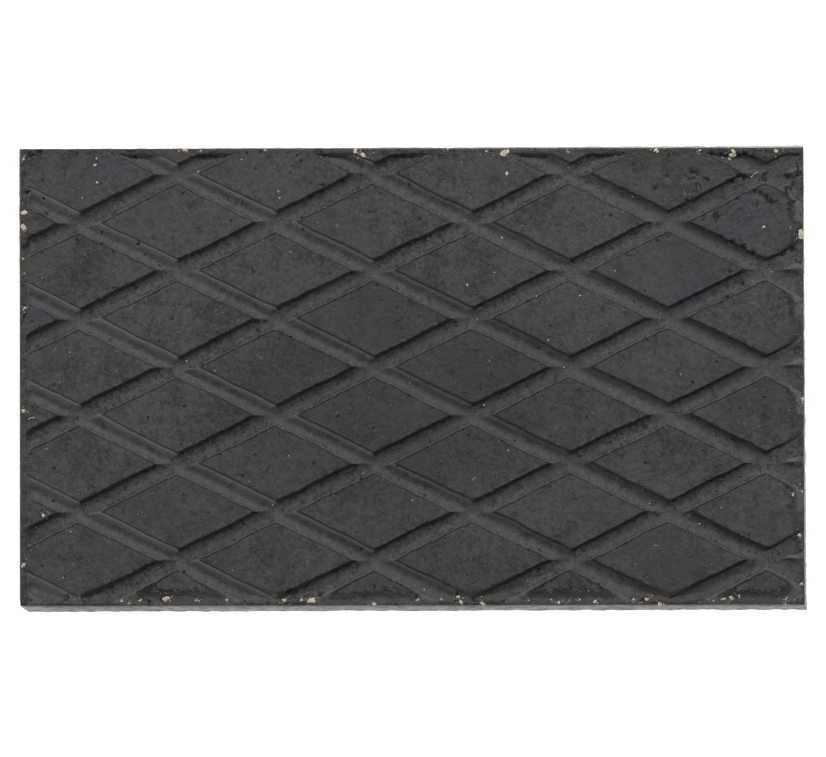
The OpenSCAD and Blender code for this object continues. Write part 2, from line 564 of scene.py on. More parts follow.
@dataclass(frozen=True)
class PaleFloor(Finish):
    """Matt white sheet that the pad lies on, glowing like a light table."""

    name: str = "pale_floor"
    glow: float = 0.85

    def fill(self, graph: Graph, surface: bpy.types.Node, place: Value) -> None:
        """Fill in the floor's surface.

        Args:
            graph: The material's graph.
            surface: Its Principled node.
            place: The point on the floor, in millimetres.
        """
        cloud = graph.noise(place, 300.0, 61.0)
        white = graph.mixed(0.5 + cloud * 0.5, (0.90, 0.90, 0.90), (0.92, 0.92, 0.92))
        graph.link(white, surface, "Base Color")
        surface.inputs["Roughness"].default_value = 0.85
        surface.inputs["Specular IOR Level"].default_value = 0.2
        surface.inputs["Emission Color"].default_value = (1.0, 1.0, 1.0, 1.0)
        surface.inputs["Emission Strength"].default_value = self.glow


# ----------------------------------------------------------------------------------------------------------
# Mesh helpers


def add_object(name: str, mesh: bpy.types.Mesh) -> bpy.types.Object:
    """Put a mesh in the scene as an object at the origin.

    Args:
        name: The object's name.
        mesh: Its mesh, in metres.

    Returns:
        The new object.
    """
    mesh.name = name
    made = bpy.data.objects.new(name, mesh)
    bpy.context.scene.collection.objects.link(made)
    return made


class GeometryGraph(Graph):
    """A Geometry Nodes tree with named inputs, which turns an object's mesh into a finished one."""

    def __init__(self, name: str, sizes: dict[str, float]) -> None:
        """Start a tree that takes and gives geometry.

        Args:
            name: The tree's name.
            sizes: Its named inputs and what each is set to.
        """
        super().__init__(bpy.data.node_groups.new(name, "GeometryNodeTree"))
        face = self.tree.interface
        face.new_socket("Geometry", in_out="INPUT", socket_type="NodeSocketGeometry")
        face.new_socket("Geometry", in_out="OUTPUT", socket_type="NodeSocketGeometry")
        self.sizes = sizes
        self.identifiers = {}
        for label in sizes:
            socket = face.new_socket(label, in_out="INPUT", socket_type="NodeSocketFloat")
            self.identifiers[label] = socket.identifier
        self.given = self.node("NodeGroupInput")
        self.result = self.node("NodeGroupOutput")

    def size(self, label: str) -> Value:
        """One of the named inputs."""
        return self.out(self.given, label)

    def geometry(self) -> Value:
        """The geometry that comes in."""
        return self.out(self.given, "Geometry")

    def finish(self, geometry: Value, material: bpy.types.Material) -> None:
        """Realize what the tree has made, give it its material and send it out."""
        real = self.node("GeometryNodeRealizeInstances", {}, {"Geometry": geometry})
        smooth = self.node("GeometryNodeSetShadeSmooth", {}, {"Geometry": self.out(real)})
        sockets = {"Geometry": self.out(smooth), "Material": material}
        dressed = self.node("GeometryNodeSetMaterial", {}, sockets)
        self.link(self.out(dressed), self.result, "Geometry")

    def applied_to(self, mesh: bpy.types.Mesh, name: str) -> bpy.types.Mesh:
        """Run the tree on a mesh.

        Args:
            mesh: What goes in. It is used up.
            name: A name for the passing object.

        Returns:
            A plain mesh with the tree's result.
        """
        carrier = add_object(name, mesh)
        modifier = carrier.modifiers.new("shape", "NODES")
        modifier.node_group = self.tree
        for label, identifier in self.identifiers.items():
            modifier[identifier] = float(self.sizes[label])
        view = bpy.context.evaluated_depsgraph_get()
        shown = carrier.evaluated_get(view)
        result = bpy.data.meshes.new_from_object(shown, preserve_all_data_layers=True, depsgraph=view)
        bpy.data.objects.remove(carrier)
        bpy.data.meshes.remove(mesh)
        return result


# ----------------------------------------------------------------------------------------------------------
# The moulded tread


class Family(Enum):
    """The two families of grooves, by the way they run seen from above, and the floor width of each."""

    RISING = ("Rising floor", 2.80)
    FALLING = ("Falling floor", 3.05)


@dataclass(frozen=True)
class Wall:
    """One side of the pad.

    Attributes:
        axis: The axis that it faces along.
        sign: Which way it faces along that axis.
        lean_low: How far it leans out on its way down, in millimetres, at its end with the lower coordinate.
        lean_high: The same at its other end.
    """

    axis: int
    sign: int
    lean_low: float
    lean_high: float

    def lean(self, share: float) -> float:
        """How far the wall leans out at a share of its length, from its low end."""
        return self.lean_low + (self.lean_high - self.lean_low) * share


@dataclass
class Tread:
    """The moulded rubber: diamond lands between dished grooves, inside two rims and two lower ledges.

    Attributes:
        length: Length of the top, in millimetres, as are all sizes here.
        width: Width of the top.
        pitch_x: Distance between two groove crossings along the length.
        pitch_y: The same along the width.
        crossing_x: Place of one crossing along the length.
        crossing_y: Its place along the width.
        wall_run: How far a groove's side wall runs sideways.
        wall_drop: How far it drops.
        floor_dish: How far the middle of a groove's floor lies below its edges.
        rim_left: Width of the rim along the left end.
        rim_back: Width of the rim along the back edge.
        ledge_right: Width of the ledge along the right end.
        ledge_front: Width of the ledge along the front edge.
        ledge_drop: How far the ledges lie below the lands.
        land_step: Step of the mesh on the lands.
        fine_border: Width of the finer mesh along the edges.
        corner_cut: How much the front left corner is rubbed off at its foot.
        tear_depth: How deep the torn places are.
        wall_levels: Where a side wall has its points, as shares of the way down.
        worn_spot: The most worn place, as its x, y and radius.
        walls: The four sides.
        tears: Torn places, each with its x, y and reach.
    """

    length: float = 152.4
    width: float = 88.9
    pitch_x: float = 38.16
    pitch_y: float = 18.8
    crossing_x: float = -7.4
    crossing_y: float = 2.0
    wall_run: float = 0.45
    wall_drop: float = 0.75
    floor_dish: float = 0.35
    rim_left: float = 1.2
    rim_back: float = 1.0
    ledge_right: float = 2.0
    ledge_front: float = 1.95
    ledge_drop: float = 0.55
    land_step: float = 0.76
    fine_border: float = 2.4
    corner_cut: float = 0.7
    tear_depth: float = 0.22
    wall_levels: tuple[float, ...] = (0.06, 0.2, 0.4, 0.6, 0.8, 0.94, 1.0)
    worn_spot: tuple[float, float, float] = (66.0, 36.0, 15.0)
    walls: tuple[Wall, ...] = (
        Wall(0, -1, 0.02, 0.38),
        Wall(0, 1, 0.60, 0.25),
        Wall(1, -1, 1.15, 0.93),
        Wall(1, 1, 0.38, 0.80),
    )
    tears: tuple[tuple[float, float, float], ...] = (
        (54.7, 39.8, 0.8), (55.6, 39.6, 0.6), (53.4, 38.7, 0.35), (63.6, 39.1, 0.75),
        (64.8, 38.7, 0.75), (62.3, 37.8, 0.5), (66.8, 35.9, 0.6), (67.8, 35.5, 0.75),
        (68.9, 34.9, 0.6), (69.9, 34.1, 0.45), (63.3, 34.4, 0.45), (74.2, 33.9, 0.6),
        (73.6, 33.3, 0.45), (53.6, 34.2, 0.5), (54.9, 35.9, 0.35), (73.0, 38.7, 0.7),
        (75.2, 39.1, 0.5), (49.7, 38.9, 0.4), (47.4, 36.6, 0.45), (43.4, 37.1, 0.3), (49.9, 27.1, 0.5),
        (60.3, 27.0, 0.5), (62.4, 26.0, 0.6), (64.5, 25.1, 0.7), (66.4, 24.0, 0.7), (72.0, 23.4, 0.5),
        (74.0, 24.6, 0.6), (62.0, 20.2, 0.5), (64.2, 18.1, 0.5), (-17.2, 37.3, 0.45),
        (-6.0, 35.5, 0.4), (-7.8, 31.9, 0.4), (1.7, 30.6, 0.35), (-6.8, 17.8, 0.4), (-74.8, 36.1, 0.7),
        (-71.6, 34.8, 0.35), (-71.0, 31.9, 0.4), (-53.1, 26.0, 0.55), (-75.4, 25.2, 0.7),
        (-74.5, 43.6, 0.8), (-72.3, 43.8, 0.7), (58.3, 43.5, 0.7), (60.3, 43.4, 0.6),
        (9.0, -42.4, 0.8), (11.8, -43.5, 0.6), (-23.8, -41.9, 0.7), (-18.0, -42.6, 0.5),
        (45.0, -43.6, 0.7), (-7.5, -40.9, 0.4),
    )

    @property
    def slope(self) -> float:
        """How much a groove climbs per millimetre of length."""
        return self.pitch_y / self.pitch_x

    @property
    def across(self) -> float:
        """What one millimetre along Y measures square across a groove."""
        return math.cos(math.atan(self.slope))

    def build(self, node_box: tuple[Vector, Vector], rubber: bpy.types.Material) -> bpy.types.Object:
        """Build the whole moulding.

        Args:
            node_box: Lowest and highest corner of the slab that it stands for, in metres.
            rubber: Its material.

        Returns:
            The finished object.
        """
        base, top = node_box[0].z / MM, node_box[1].z / MM
        mesh = self._relief(top, rubber).applied_to(self._lattice(), "tread_lattice")
        self._tear(mesh)
        self._close(mesh, base)
        return add_object("tread_moulding", mesh)

    def _lines(self, family: Family) -> list[float]:
        """Where the mesh has lines along one family of grooves.

        Args:
            family: The family.

        Returns:
            Distances along Y from the family's groove through the named crossing, in millimetres.
        """
        half = family.value[1] / 2.0
        steps = (-0.08, 0.04, 0.14, 0.24, 0.34, 0.44, 0.54, 0.68, 0.90, 1.25)
        near = [0.0, half * 0.33, half * 0.62, half * 0.84] + [half + s for s in steps]
        pitch = self.pitch_y * self.across
        flat = pitch - 2.0 * near[-1]
        count = round(flat / self.land_step)
        land = [near[-1] + flat * i / count for i in range(1, count)]
        one = near + land + [pitch - d for d in reversed(near[1:])]
        reach = self.width / 2.0 + self.slope * self.length / 2.0 + self.pitch_y
        many = range(-int(reach / self.pitch_y) - 2, int(reach / self.pitch_y) + 2)
        return [(k * pitch + d) / self.across for k in many for d in one]

    def _lattice(self) -> bpy.types.Mesh:
        """Make the flat outline, meshed along both families of grooves and along every border line.

        Returns:
            The flat mesh, in metres, with the attribute "outward" on its outline.
        """
        rise, fall = np.meshgrid(self._lines(Family.RISING), self._lines(Family.FALLING), indexing="ij")
        rise = rise + self.crossing_y - self.slope * self.crossing_x
        fall = fall + self.crossing_y + self.slope * self.crossing_x
        x, y = (fall - rise) / (2.0 * self.slope), (fall + rise) / 2.0
        spare = 2.0 * self.land_step / self.slope
        near = (abs(x) < self.length / 2.0 + spare) & (abs(y) < self.width / 2.0 + spare)
        kept = near[:-1, :-1] & near[1:, :-1] & near[1:, 1:] & near[:-1, 1:]
        number = np.arange(x.size).reshape(x.shape)
        corners = (number[:-1, :-1], number[1:, :-1], number[1:, 1:], number[:-1, 1:])
        faces = np.stack([c[kept] for c in reversed(corners)], axis=1)
        used, faces = np.unique(faces, return_inverse=True)
        points = np.stack([x.ravel()[used], y.ravel()[used], np.zeros(used.size)], axis=1) * MM
        mesh = bpy.data.meshes.new("lattice")
        mesh.from_pydata(points.tolist(), [], faces.reshape(-1, 4).tolist())
        self._cut_borders(mesh)
        return mesh

    def _cut_borders(self, mesh: bpy.types.Mesh) -> None:
        """Cut a flat mesh off at the outline, add lines along its borders and mark which way is outward."""
        bm = bmesh.new()
        bm.from_mesh(mesh)
        foot = self.wall_run * self.ledge_drop / self.wall_drop
        half_x, half_y = self.length / 2.0, self.width / 2.0
        lip = (0.0, 0.12, 0.3, 0.55)
        borders = (
            (0, -1, half_x, (*lip, self.rim_left - 0.1, self.rim_left + 0.1, self.rim_left + 0.5)),
            (0, 1, half_x, (*lip, self.ledge_right - foot, self.ledge_right)),
            (1, -1, half_y, (*lip, self.ledge_front - foot, self.ledge_front)),
            (1, 1, half_y, (*lip, self.rim_back - 0.1, self.rim_back + 0.1, self.rim_back + 0.5)),
        )
        for axis, sign, half, insets in borders:
            for inset in insets:
                point, normal = Vector((0.0, 0.0, 0.0)), Vector((0.0, 0.0, 0.0))
                point[axis] = sign * (half - inset) * MM
                normal[axis] = sign
                bmesh.ops.bisect_plane(
                    bm,
                    geom=bm.verts[:] + bm.edges[:] + bm.faces[:],
                    dist=0.02 * MM,
                    plane_co=point,
                    plane_no=normal,
                    clear_outer=inset == 0.0,
                )
        self._refine(bm)
        outward = bm.verts.layers.float_vector.new("outward")
        for vertex in bm.verts:
            if vertex.is_boundary:
                at_x = abs(abs(vertex.co.x) - half_x * MM) < 0.03 * MM
                at_y = abs(abs(vertex.co.y) - half_y * MM) < 0.03 * MM
                way_x, way_y = math.copysign(at_x, vertex.co.x), math.copysign(at_y, vertex.co.y)
                vertex[outward] = Vector((way_x, way_y, 0.0))
        bm.to_mesh(mesh)
        bm.free()

    def _refine(self, bm: bmesh.types.BMesh) -> None:
        """Halve the mesh's steps along the borders, round the worn spot and, once more, at the tears."""
        x, y, radius = self.worn_spot
        for torn_only in (False, True):
            fine = set()
            for face in bm.faces:
                middle = face.calc_center_median() / MM
                edge = min(self.length / 2.0 - abs(middle.x), self.width / 2.0 - abs(middle.y))
                away = [math.hypot(middle.x - tear[0], middle.y - tear[1]) / tear[2] for tear in self.tears]
                wanted = min(away) < 1.6
                if not torn_only:
                    is_worn = math.hypot(middle.x - x, middle.y - y) < radius * 0.8
                    wanted = wanted or is_worn or edge < self.fine_border
                if wanted:
                    fine.update(face.edges)
            longest = (0.25 if torn_only else 0.5) * MM
            coarse = [edge for edge in fine if edge.calc_length() > longest]
            bmesh.ops.subdivide_edges(bm, edges=coarse, cuts=1, use_grid_fill=True)

    def _relief(self, top: float, rubber: bpy.types.Material) -> GeometryGraph:
        """Make the tree that lifts the flat mesh into diamonds, grooves, rims and ledges.

        Args:
            top: Height of the diamonds' tops, in millimetres.
            rubber: The tread's material.

        Returns:
            The tree, with its sizes as named inputs.
        """
        sizes = {
            "Top": top,
            "Half length": self.length / 2.0,
            "Half width": self.width / 2.0,
            "Pitch X": self.pitch_x,
            "Pitch Y": self.pitch_y,
            "Crossing X": self.crossing_x,
            "Crossing Y": self.crossing_y,
            "Wall run": self.wall_run,
            "Wall drop": self.wall_drop,
            "Floor dish": self.floor_dish,
            "Rim left": self.rim_left,
            "Rim back": self.rim_back,
            "Ledge right": self.ledge_right,
            "Ledge front": self.ledge_front,
            "Ledge drop": self.ledge_drop,
            "Worn X": self.worn_spot[0],
            "Worn Y": self.worn_spot[1],
            "Worn radius": self.worn_spot[2],
            "Seed": 7.0,
        }
        sizes.update({family.value[0]: family.value[1] for family in Family})
        g = GeometryGraph("diamond_relief", sizes)
        place = g.scaled(g.out(g.node("GeometryNodeInputPosition")), 1.0 / MM)
        parts = g.node("ShaderNodeSeparateXYZ", {}, {0: place})
        x, y = g.out(parts, "X"), g.out(parts, "Y")
        slope = g.size("Pitch Y") / g.size("Pitch X")
        across = g.math("COSINE", g.math("ARCTANGENT", slope))

        share = g.math("ADD", x / g.size("Half length") * 0.5, 0.5, clamp=True)
        ragged = g.noise(place, 1.7, 71.0, 4.0) * 0.24 + g.noise(place, 7.0, 72.0, 1.0) * 0.16
        steep = g.size("Wall drop") / g.size("Wall run")
        edges, falls, floors, uphill = [], [], [], []
        for family, way in ((Family.RISING, -1.0), (Family.FALLING, 1.0)):
            lines = (y - g.size("Crossing Y") + slope * (x - g.size("Crossing X")) * way) / g.size("Pitch Y")
            signed = (lines - g.math("ROUND", lines)) * g.size("Pitch Y") * across
            half = g.size(family.value[0]) * 0.5
            uphill.append(g.math("GREATER_THAN", signed, 0.0))
            edges.append(abs(signed) - half - g.size("Wall run") + ragged)
            relaxed = uphill[-1] * (share * 0.8 if family is Family.FALLING else (1.0 - share) * 0.5)
            falls.append(edges[-1] * steep / (relaxed + 1.0))
            part = g.math("MINIMUM", abs(signed) / half, 1.0)
            floors.append(g.size("Floor dish") * (part * part - 1.0) * 1.2 - g.size("Wall drop"))

        step_down = g.size("Wall drop") * (0.36 + share * 0.6) + (1.0 - uphill[1]) * 2.0
        shelf = g.math("MINIMUM", edges[1] + 0.6, 0.0) * 0.6 - step_down
        falls[1] = g.greater(falls[1], shelf, 0.08)

        from_right = (g.size("Half length") - g.size("Ledge right") - x) * steep * 0.2
        from_front = (g.size("Half width") - g.size("Ledge front") + y) * steep * 0.2
        field = g.lesser(from_right, from_front, 1.7) + ragged
        land = g.lesser(g.lesser(falls[0], falls[1], 0.6), field, 2.3)
        in_left = g.size("Rim left") - g.size("Half length") - x
        in_back = g.size("Rim back") - g.size("Half width") + y
        rim = (g.greater(in_left, in_back, 0.6) + ragged) * steep
        land = g.greater(land, rim, 1.1)
        floor = g.lesser(floors[0], floors[1], 0.2)
        shallow = g.step(x, 62.0, 74.0) * 0.75
        floor = floor * (1.0 - shallow) - g.size("Ledge drop") * shallow
        inward = g.greater(field * 2.0 + g.size("Ledge drop"), 0.0, 0.5)
        floor = g.greater(floor, -g.size("Ledge drop") - inward, 0.25)
        wall = g.lesser(land, 0.0, 0.2)
        height = g.greater(wall, floor, 0.12)

        out_x = g.size("Half length") - abs(x)
        out_y = g.size("Half width") - abs(y)
        edge = g.math("MINIMUM", out_x, out_y)
        border = 1.0 - g.step(edge, 0.8, 3.0)
        nick = g.step(g.noise(place, 2.6, 73.0, 3.0), 0.05, 0.6) * 0.5 + 0.12
        rounding = g.math("MAXIMUM", 1.0 - edge / (nick + 0.25), 0.0)
        height = height - rounding * rounding * (nick + 0.06)
        height = height + g.noise(place, 14.0, 74.0, 1.0) * 0.12 + g.noise(place, 3.2, 75.0, 2.0) * 0.06
        height = height + g.noise(place, 1.1, 76.0, 2.0) * (border * 0.28 + 0.05)

        off_x, off_y = x - g.size("Worn X"), y - g.size("Worn Y")
        away = g.math("SQRT", off_x * off_x + off_y * off_y * 1.6) / g.size("Worn radius")
        worn = 1.0 - g.step(away, 0.35, 1.0)
        torn = g.step(g.noise(place, 2.4, 77.0, 4.0) + worn * 0.22, 0.34, 0.6) * (worn * 0.8 + border * 0.5)
        height = height - torn * 0.35
        steady = g.math("MINIMUM", height + g.size("Top"), g.size("Top") + 0.03)

        depth = land / g.size("Wall drop")
        on_wall = g.step(depth, -1.5, -1.0) * (1.0 - g.step(depth, -0.2, 0.4))
        is_rising = g.math("LESS_THAN", edges[0], edges[1])
        is_falling = 1.0 - is_rising
        rising_wall, falling_wall = is_rising * uphill[0], is_falling * uphill[1]
        sunny = 1.0 - rising_wall - falling_wall
        low = 1.0 - g.step(depth, -1.2, 0.0)
        dust_and_light = low * (is_rising * share * 0.2 + is_falling * (0.6 - share * 0.15))
        shown = g.step(edge, 1.0, 3.2) * 0.8 + 0.2
        # Marks for the rubber's colour: shade, line and lip paint shade on the groove walls and along the
        # lands' edges, gleam paints a highlight, the paler mark is partly dusted and partly painted light,
        # and the floor mark lets the groove floors be painted darker as shade.
        marks = {
            "depth": g.math("MAXIMUM", g.math("MINIMUM", depth, 3.0), -3.0),
            "shade": (rising_wall * (0.24 - share * 0.18) + falling_wall * share * share * 0.38) * shown,
            "line": (rising_wall * (0.34 - share * 0.06) + falling_wall * share * share * 0.31) * shown,
            "lip": sunny * (is_rising * 0.9 + is_falling * 0.65) * shown,
            "gleam": sunny * 0.8 + falling_wall * (1.0 - share * share) * 1.1,
            "dust_and_light": dust_and_light + on_wall * falling_wall * (1.0 - share) * 1.2,
            "wear": worn + border * 0.4,
            "tear": torn * 0.5 + border * 0.28 + worn * 0.10,
            "floor": low,
        }

        sockets = {"Vector": place, "W": g.size("Seed"), "Scale": 0.11}
        sway = g.node("ShaderNodeTexNoise", {"noise_dimensions": "4D"}, sockets)
        drift = g.node("ShaderNodeSeparateXYZ", {}, {0: g.out(sway, "Color")})
        hold = g.step(edge, 0.0, 4.0) * 0.8
        moved_x = x + (g.out(drift, "X") - 0.5) * hold
        moved_y = y + (g.out(drift, "Y") - 0.5) * hold
        point = g.node("ShaderNodeCombineXYZ", {}, {"X": moved_x * MM, "Y": moved_y * MM, "Z": steady * MM})
        kept = g.geometry()
        for name, value in marks.items():
            settings = {"data_type": "FLOAT", "domain": "POINT"}
            sockets = {"Geometry": kept, "Name": name, "Value": value}
            kept = g.out(g.node("GeometryNodeStoreNamedAttribute", settings, sockets))
        lifted = g.node("GeometryNodeSetPosition", {}, {"Geometry": kept, "Position": g.out(point)})
        g.finish(g.out(lifted), rubber)
        return g

    def _tear(self, mesh: bpy.types.Mesh) -> None:
        """Sink the top where the rubber is torn, and add these places to the attribute "tear"."""
        places = np.empty(len(mesh.vertices) * 3)
        mesh.vertices.foreach_get("co", places)
        places = places.reshape(-1, 3)
        stored = mesh.attributes["tear"]
        depth = np.empty(len(places))
        stored.data.foreach_get("value", depth)
        for x, y, reach in self.tears:
            away = np.hypot(places[:, 0] / MM - x, places[:, 1] / MM - y)
            bowl = np.clip(1.35 - away / reach, 0.0, 1.0)
            places[:, 2] -= bowl * self.tear_depth * MM
            depth = np.maximum(depth, bowl * 0.85)
        stored.data.foreach_set("value", depth)
        mesh.vertices.foreach_set("co", places.ravel())

    def _close(self, mesh: bpy.types.Mesh, base: float) -> None:
        """Carry the outline down to the base as uneven side walls and close the underside.

        Args:
            mesh: The lifted top, in metres, which gains its walls and the attribute "wall".
            base: Height of the underside, in millimetres.
        """
        bm = bmesh.new()
        bm.from_mesh(mesh)
        outward = bm.verts.layers.float_vector["outward"]
        wall = bm.verts.layers.float.new("wall")
        rim = bm.verts.layers.float_vector.new("rim")
        for vertex in bm.verts:
            vertex[rim] = vertex.co
        ring = [edge for edge in bm.edges if edge.is_boundary]
        for down in self.wall_levels:
            made = bmesh.ops.extrude_edge_only(bm, edges=ring)["geom"]
            ring = [item for item in made if isinstance(item, bmesh.types.BMEdge)]
            for vertex in (item for item in made if isinstance(item, bmesh.types.BMVert)):
                vertex[wall] = min(0.25 + down * 1.2, 1.0)
                vertex.co = self._wall_point(Vector(vertex[rim]), Vector(vertex[outward]), down, base)
        under = bmesh.ops.edgeloop_fill(bm, edges=ring)["faces"]
        bmesh.ops.triangulate(bm, faces=under)
        bmesh.ops.recalc_face_normals(bm, faces=bm.faces[:])
        bm.verts.layers.float_vector.remove(bm.verts.layers.float_vector["rim"])
        bm.verts.layers.float_vector.remove(bm.verts.layers.float_vector["outward"])
        for face in bm.faces:
            face.smooth = True
        bm.to_mesh(mesh)
        bm.free()

    def _wall_point(self, rim: Vector, outward: Vector, down: float, base: float) -> Vector:
        """Place one point of a side wall.

        Args:
            rim: The outline's point straight above it, in metres.
            outward: Which sides it lies on, as -1, 0 or 1 along X and Y.
            down: How far down it is, from 0 at the outline to 1 at the base.
            base: Height of the base, in millimetres.

        Returns:
            The point, in metres.
        """
        point = rim.copy()
        point.z = rim.z + (base * MM - rim.z) * down
        rough = noise.noise(point * 650.0) * 0.10 + noise.noise(point * 160.0) * 0.14
        foot = Vector((rim.x, rim.y, 0.0))
        chipped = noise.noise(foot * 420.0) * 0.16 + noise.noise(foot * 1300.0) * 0.10
        tuck = 0.14 if down == 1.0 else 0.0
        for side in self.walls:
            if outward[side.axis] * side.sign > 0.5:
                inner = math.sin(math.pi * down) * rough + chipped * down * down
                half = (self.width if side.axis == 0 else self.length) / 2.0
                lean = side.lean(rim[1 - side.axis] / MM / half / 2.0 + 0.5)
                point[side.axis] += side.sign * (lean * down + inner - tuck) * MM
        corner = Vector((-self.length / 2.0 * MM, -self.width / 2.0 * MM))
        near = max(0.0, 1.0 - (rim.xy - corner).length / (1.6 * MM))
        cut = self.corner_cut * near * down * MM
        point.x += cut
        point.y += cut * 0.8
        return point


# ----------------------------------------------------------------------------------------------------------
# Crumbs, flecks and fibres in the rubber


class Side(Enum):
    """An edge of the pad. Its value holds the axis that runs along it and the sign of the edge across it."""

    FRONT = (0, -1)
    BACK = (0, 1)
    LEFT = (1, -1)
    RIGHT = (1, 1)


@dataclass(frozen=True)
class Cluster:
    """A knot of torn fibre at the pad's edge.

    Attributes:
        side: The edge that it lies at.
        along: Its place along that edge, from the middle, in millimetres.
        size: How far it spreads, in millimetres.
        inset: How far in from the edge it lies, in millimetres.
    """

    side: Side
    along: float
    size: float
    inset: float


@dataclass(frozen=True)
class Seed:
    """Where one inclusion grows.

    Attributes:
        point: Its place, in metres.
        size: Its size, in millimetres.
        turn: Its turn about Z, in radians.
        tint: Its place on the scale of colours, from 0 to 1.
    """

    point: Vector
    size: float
    turn: float
    tint: float


@dataclass
class Inclusions:
    """Everything pale that shows in the rubber: clusters of crumbs at the edges, flecks and loose fibres.

    Attributes:
        length: The tread's length, in millimetres.
        width: The tread's width, in millimetres.
        seed: The seed of all that is scattered.
        fleck_count: How many flecks are scattered over the top.
        fibre_count: How many fibres are scattered over the top.
        dirt_reach: How far brown dirt reaches in from the edge, in millimetres.
        knots: The clusters at each edge, each with its place along it, its size and its inset.
        flecks: Single flecks, each with its x, y and size in millimetres.
        fibres: Single fibres, each with its x, y and size in millimetres and its turn in radians.
    """

    length: float
    width: float
    seed: int = 20
    fleck_count: int = 380
    fibre_count: int = 36
    dirt_reach: float = 2.4
    knots: dict[Side, tuple[tuple[float, float, float], ...]] = field(
        default_factory=lambda: {
            Side.FRONT: (
                (-56.5, 0.5, 1.0), (-53.0, 0.8, 1.0), (-42.0, 0.7, 1.0), (-36.0, 0.7, 1.0),
                (-25.0, 1.0, 1.0), (1.0, 0.7, 1.0), (5.5, 0.5, 1.0), (22.5, 0.4, 1.0),
                (27.0, 0.4, 1.0), (30.5, 0.5, 1.0), (32.5, 0.5, 1.0), (43.0, 0.5, 1.0),
                (45.5, 1.0, 1.0), (72.5, 0.7, 1.0), (-55.0, 0.4, 0.3), (-48.0, 1.5, 1.2),
                (-19.5, 1.4, 0.9), (-21.5, 0.7, 1.0), (-7.5, 1.0, 0.2), (9.0, 0.9, 1.6),
                (9.5, 0.9, 0.5), (13.5, 1.0, 0.3), (28.5, 0.8, 0.4), (35.5, 1.0, 0.6),
                (48.0, 1.2, 0.0), (58.5, 0.6, 0.8), (60.5, 0.9, 1.1), (62.0, 0.9, 1.4),
                (63.5, 0.6, 1.7), (72.5, 0.6, 0.0),
            ),
            Side.BACK: (
                (-44.0, 1.2, 0.2), (-41.0, 0.5, 0.4), (-28.5, 0.5, 0.4), (-11.0, 1.0, 0.5),
                (-9.5, 1.3, 1.3), (7.0, 0.9, 0.0), (14.5, 0.4, 0.6), (18.0, 1.7, 0.9),
                (30.5, 0.4, 0.8), (47.5, 1.1, 0.4), (56.0, 0.6, 0.5), (62.5, 1.9, 1.2),
                (71.0, 1.1, 0.7),
            ),
            Side.LEFT: (
                (42.5, 0.6, 0.7), (32.0, 1.2, 0.8), (29.0, 1.3, 0.8), (23.0, 0.4, 0.6),
                (13.5, 0.7, 0.9), (-6.5, 0.9, 0.6), (-27.0, 0.9, 4.5), (-36.5, 0.9, 0.7),
            ),
            Side.RIGHT: (
                (27.5, 1.4, 0.6), (-4.5, 0.9, 0.3), (-22.5, 0.6, 0.4), (-23.0, 0.6, 2.2),
                (-31.0, 0.8, 0.8), (-40.5, 0.7, 0.6),
            ),
        }
    )
    flecks: tuple[tuple[float, float, float], ...] = (
        (-61.6, 41.3, 0.56), (-61.3, 42.6, 0.44), (-61.2, 37.9, 0.4), (-64.1, 34.9, 0.28),
        (-59.2, 40.6, 0.24), (-68.3, 33.2, 0.24), (-41.5, 40.0, 0.48), (18.5, 39.5, 0.64),
        (68.5, 29.0, 0.56), (41.0, 32.0, 0.32), (26.5, 7.0, 0.4), (-25.7, 34.8, 0.56),
        (-29.0, 26.6, 0.28), (-19.2, 30.1, 0.2), (-18.2, 30.1, 0.2), (11.5, 34.8, 0.24),
        (3.2, 26.8, 0.24), (10.8, 17.8, 0.48), (39.5, 20.5, 0.36), (66.1, 38.9, 0.3),
        (14.0, -5.5, 0.36), (-38.0, -3.0, 0.32),
    )
    fibres: tuple[tuple[float, float, float, float], ...] = (
        (66.8, 39.35, 1.8, 1.43), (-74.0, -8.0, 1.4, 1.2), (76.0, -4.6, 1.6, 2.4),
        (-75.4, -6.6, 1.3, 0.4), (47.5, -33.0, 1.0, 0.9),
    )

    @property
    def clusters(self) -> list[Cluster]:
        """The clusters of every edge, in order."""
        return [Cluster(side, *knot) for side, knots in self.knots.items() for knot in knots]

    def build(self, tread: bpy.types.Object, material: bpy.types.Material) -> list[bpy.types.Object]:
        """Build all the inclusions on a finished tread.

        Args:
            tread: The moulding that they sit in.
            material: Their material.

        Returns:
            The crumbs, the flecks and the fibres, one object each.
        """
        surface = BVHTree.FromObject(tread, bpy.context.evaluated_depsgraph_get())
        chance = random.Random(self.seed)
        highest = max(vertex.co.z for vertex in tread.data.vertices) / MM + 0.12
        lumps = self._lump_tree(highest, material)
        crumbs = self._grown(self._crumb_seeds(surface, chance), lumps, "edge_crumbs")
        flecks = self._grown(self._fleck_seeds(surface, chance), lumps, "surface_flecks")
        fibres = self._grown(self._fibre_seeds(surface, chance), self._strand_tree(material), "loose_fibres")
        self._stain(tread)
        return [crumbs, flecks, fibres]

    @staticmethod
    def _grown(seeds: list[Seed], tree: GeometryGraph, name: str) -> bpy.types.Object:
        """Grow one object from seeds.

        Args:
            seeds: Where its bodies grow.
            tree: The tree that puts a body on every seed.
            name: The object's name.

        Returns:
            The finished object.
        """
        mesh = bpy.data.meshes.new(name)
        mesh.from_pydata([tuple(seed.point) for seed in seeds], [], [])
        for label in ("size", "turn", "tint"):
            stored = mesh.attributes.new(label, "FLOAT", "POINT")
            stored.data.foreach_set("value", [getattr(seed, label) for seed in seeds])
        return add_object(name, tree.applied_to(mesh, name + "_seeds"))

